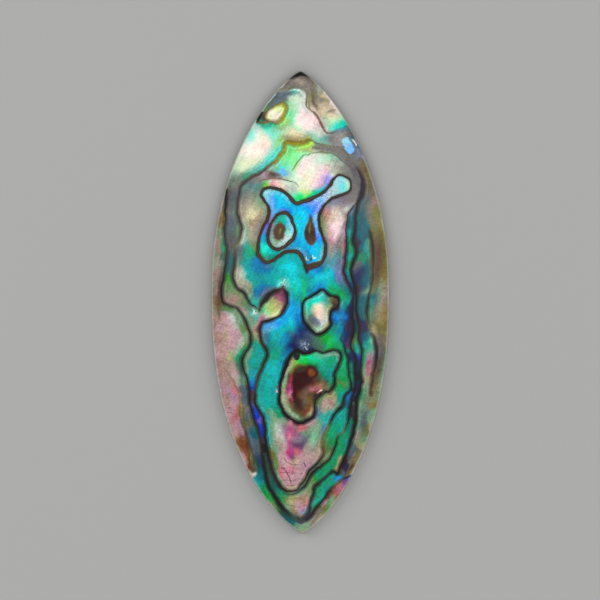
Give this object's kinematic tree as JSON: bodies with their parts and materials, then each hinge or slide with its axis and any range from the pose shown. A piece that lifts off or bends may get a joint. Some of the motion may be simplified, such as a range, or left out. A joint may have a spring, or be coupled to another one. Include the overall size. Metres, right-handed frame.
{
  "type": "abalone shell cabochon",
  "caption": "Polished marquise cabochon cut from abalone shell, with a low dome, a ground girdle and a flat back, showing blue-green mother-of-pearl crossed by dark growth lines.",
  "frame": {"origin": "under the middle of the bounding box, on the plane of the flat ground back", "axes": "+Z out of the polished dome, +Y along the length towards the blunter tip, +X across the width to the right when the dome is seen with that tip up"},
  "size_m": [0.0178, 0.0464, 0.0032],
  "materials": {
    "polished_nacre": "polished, iridescent blue-green nacre with dark brown growth lines"
  },
  "bodies": {
    "root": {"abalone_cabochon": "polished_nacre"}
  },
  "joints": []
}
